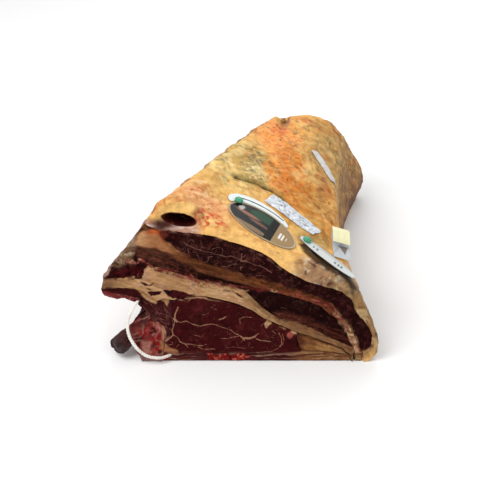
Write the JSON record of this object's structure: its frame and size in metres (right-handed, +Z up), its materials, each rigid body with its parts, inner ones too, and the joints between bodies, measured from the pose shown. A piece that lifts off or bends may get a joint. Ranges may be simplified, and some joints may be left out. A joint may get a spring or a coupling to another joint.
{
  "type": "beef loin",
  "caption": "Dry-aged bone-in beef loin lying on its ribs, with a thick fat cover, a layered cut face, a chine bone, paper tags and a tie string.",
  "frame": {"origin": "on the flat base that it lies on, under the middle of the eye of the meat", "axes": "+Z up, +Y along the loin from the layered front cut to the rear cut, +X from the chine bone towards the flank"},
  "size_m": [0.365, 0.4351, 0.2051],
  "materials": {
    "fat": "dried yellow and orange fat, mottled olive and brown",
    "dry_muscle": "dark dried muscle with fine marbling",
    "seam": "brown and orange seam fat",
    "cream_fat": "cream and olive seam fat",
    "muscle": "moist dark red muscle with marbling",
    "bone": "sawn bone with red marrow",
    "dried_bone": "black and grey dried bone end",
    "string": "white cotton string",
    "dark_tag": "glossy printed card in dark green, black and tan",
    "white_tag": "white glossy card",
    "grey_paper": "crumpled grey and white paper",
    "cream_paper": "curled cream paper",
    "pin": "green plastic pin head"
  },
  "bodies": {
    "root": {"fat_cover": "fat", "upper_muscle": "dry_muscle", "upper_seam": "seam", "middle_muscle": "dry_muscle", "lower_seam": "cream_fat", "neck_muscle": "muscle", "eye_muscle": "muscle", "rib_fat": "cream_fat", "rib_meat": "muscle", "chine": "bone", "bone_stump": "dried_bone", "tie_string": "string", "oval_tag": "dark_tag", "crescent_label": "white_tag", "paper_label": "grey_paper", "long_label": "white_tag", "curled_label": "cream_paper", "strip_label": "grey_paper", "pin_1": "pin", "pin_2": "pin"}
  },
  "joints": []
}
